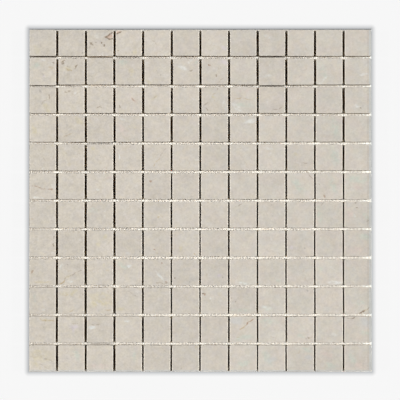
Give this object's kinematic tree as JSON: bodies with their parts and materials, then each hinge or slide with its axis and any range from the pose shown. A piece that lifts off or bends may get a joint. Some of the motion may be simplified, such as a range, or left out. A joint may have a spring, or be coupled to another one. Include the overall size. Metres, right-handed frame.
{
  "type": "mosaic tile sheet",
  "caption": "Square sheet of small polished cream marble chips in an even grid with narrow open joints, glued by their backs to a white fibreglass net.",
  "frame": {"origin": "middle of the underside of the backing net", "axes": "+Z out of the polished face, +X along a row of chips towards the picture's right, +Y towards the picture's top"},
  "size_m": [0.303, 0.3031, 0.0102],
  "materials": {
    "marble": "polished face, sawn sides and back",
    "backing_net": "white coated fibreglass yarn"
  },
  "bodies": {
    "root": {"tile_row_01": "marble", "tile_row_02": "marble", "tile_row_03": "marble", "tile_row_04": "marble", "tile_row_05": "marble", "tile_row_06": "marble", "tile_row_07": "marble", "tile_row_08": "marble", "tile_row_09": "marble", "tile_row_10": "marble", "tile_row_11": "marble", "tile_row_12": "marble", "net_warp_yarns": "backing_net", "net_weft_yarns": "backing_net"}
  },
  "joints": []
}
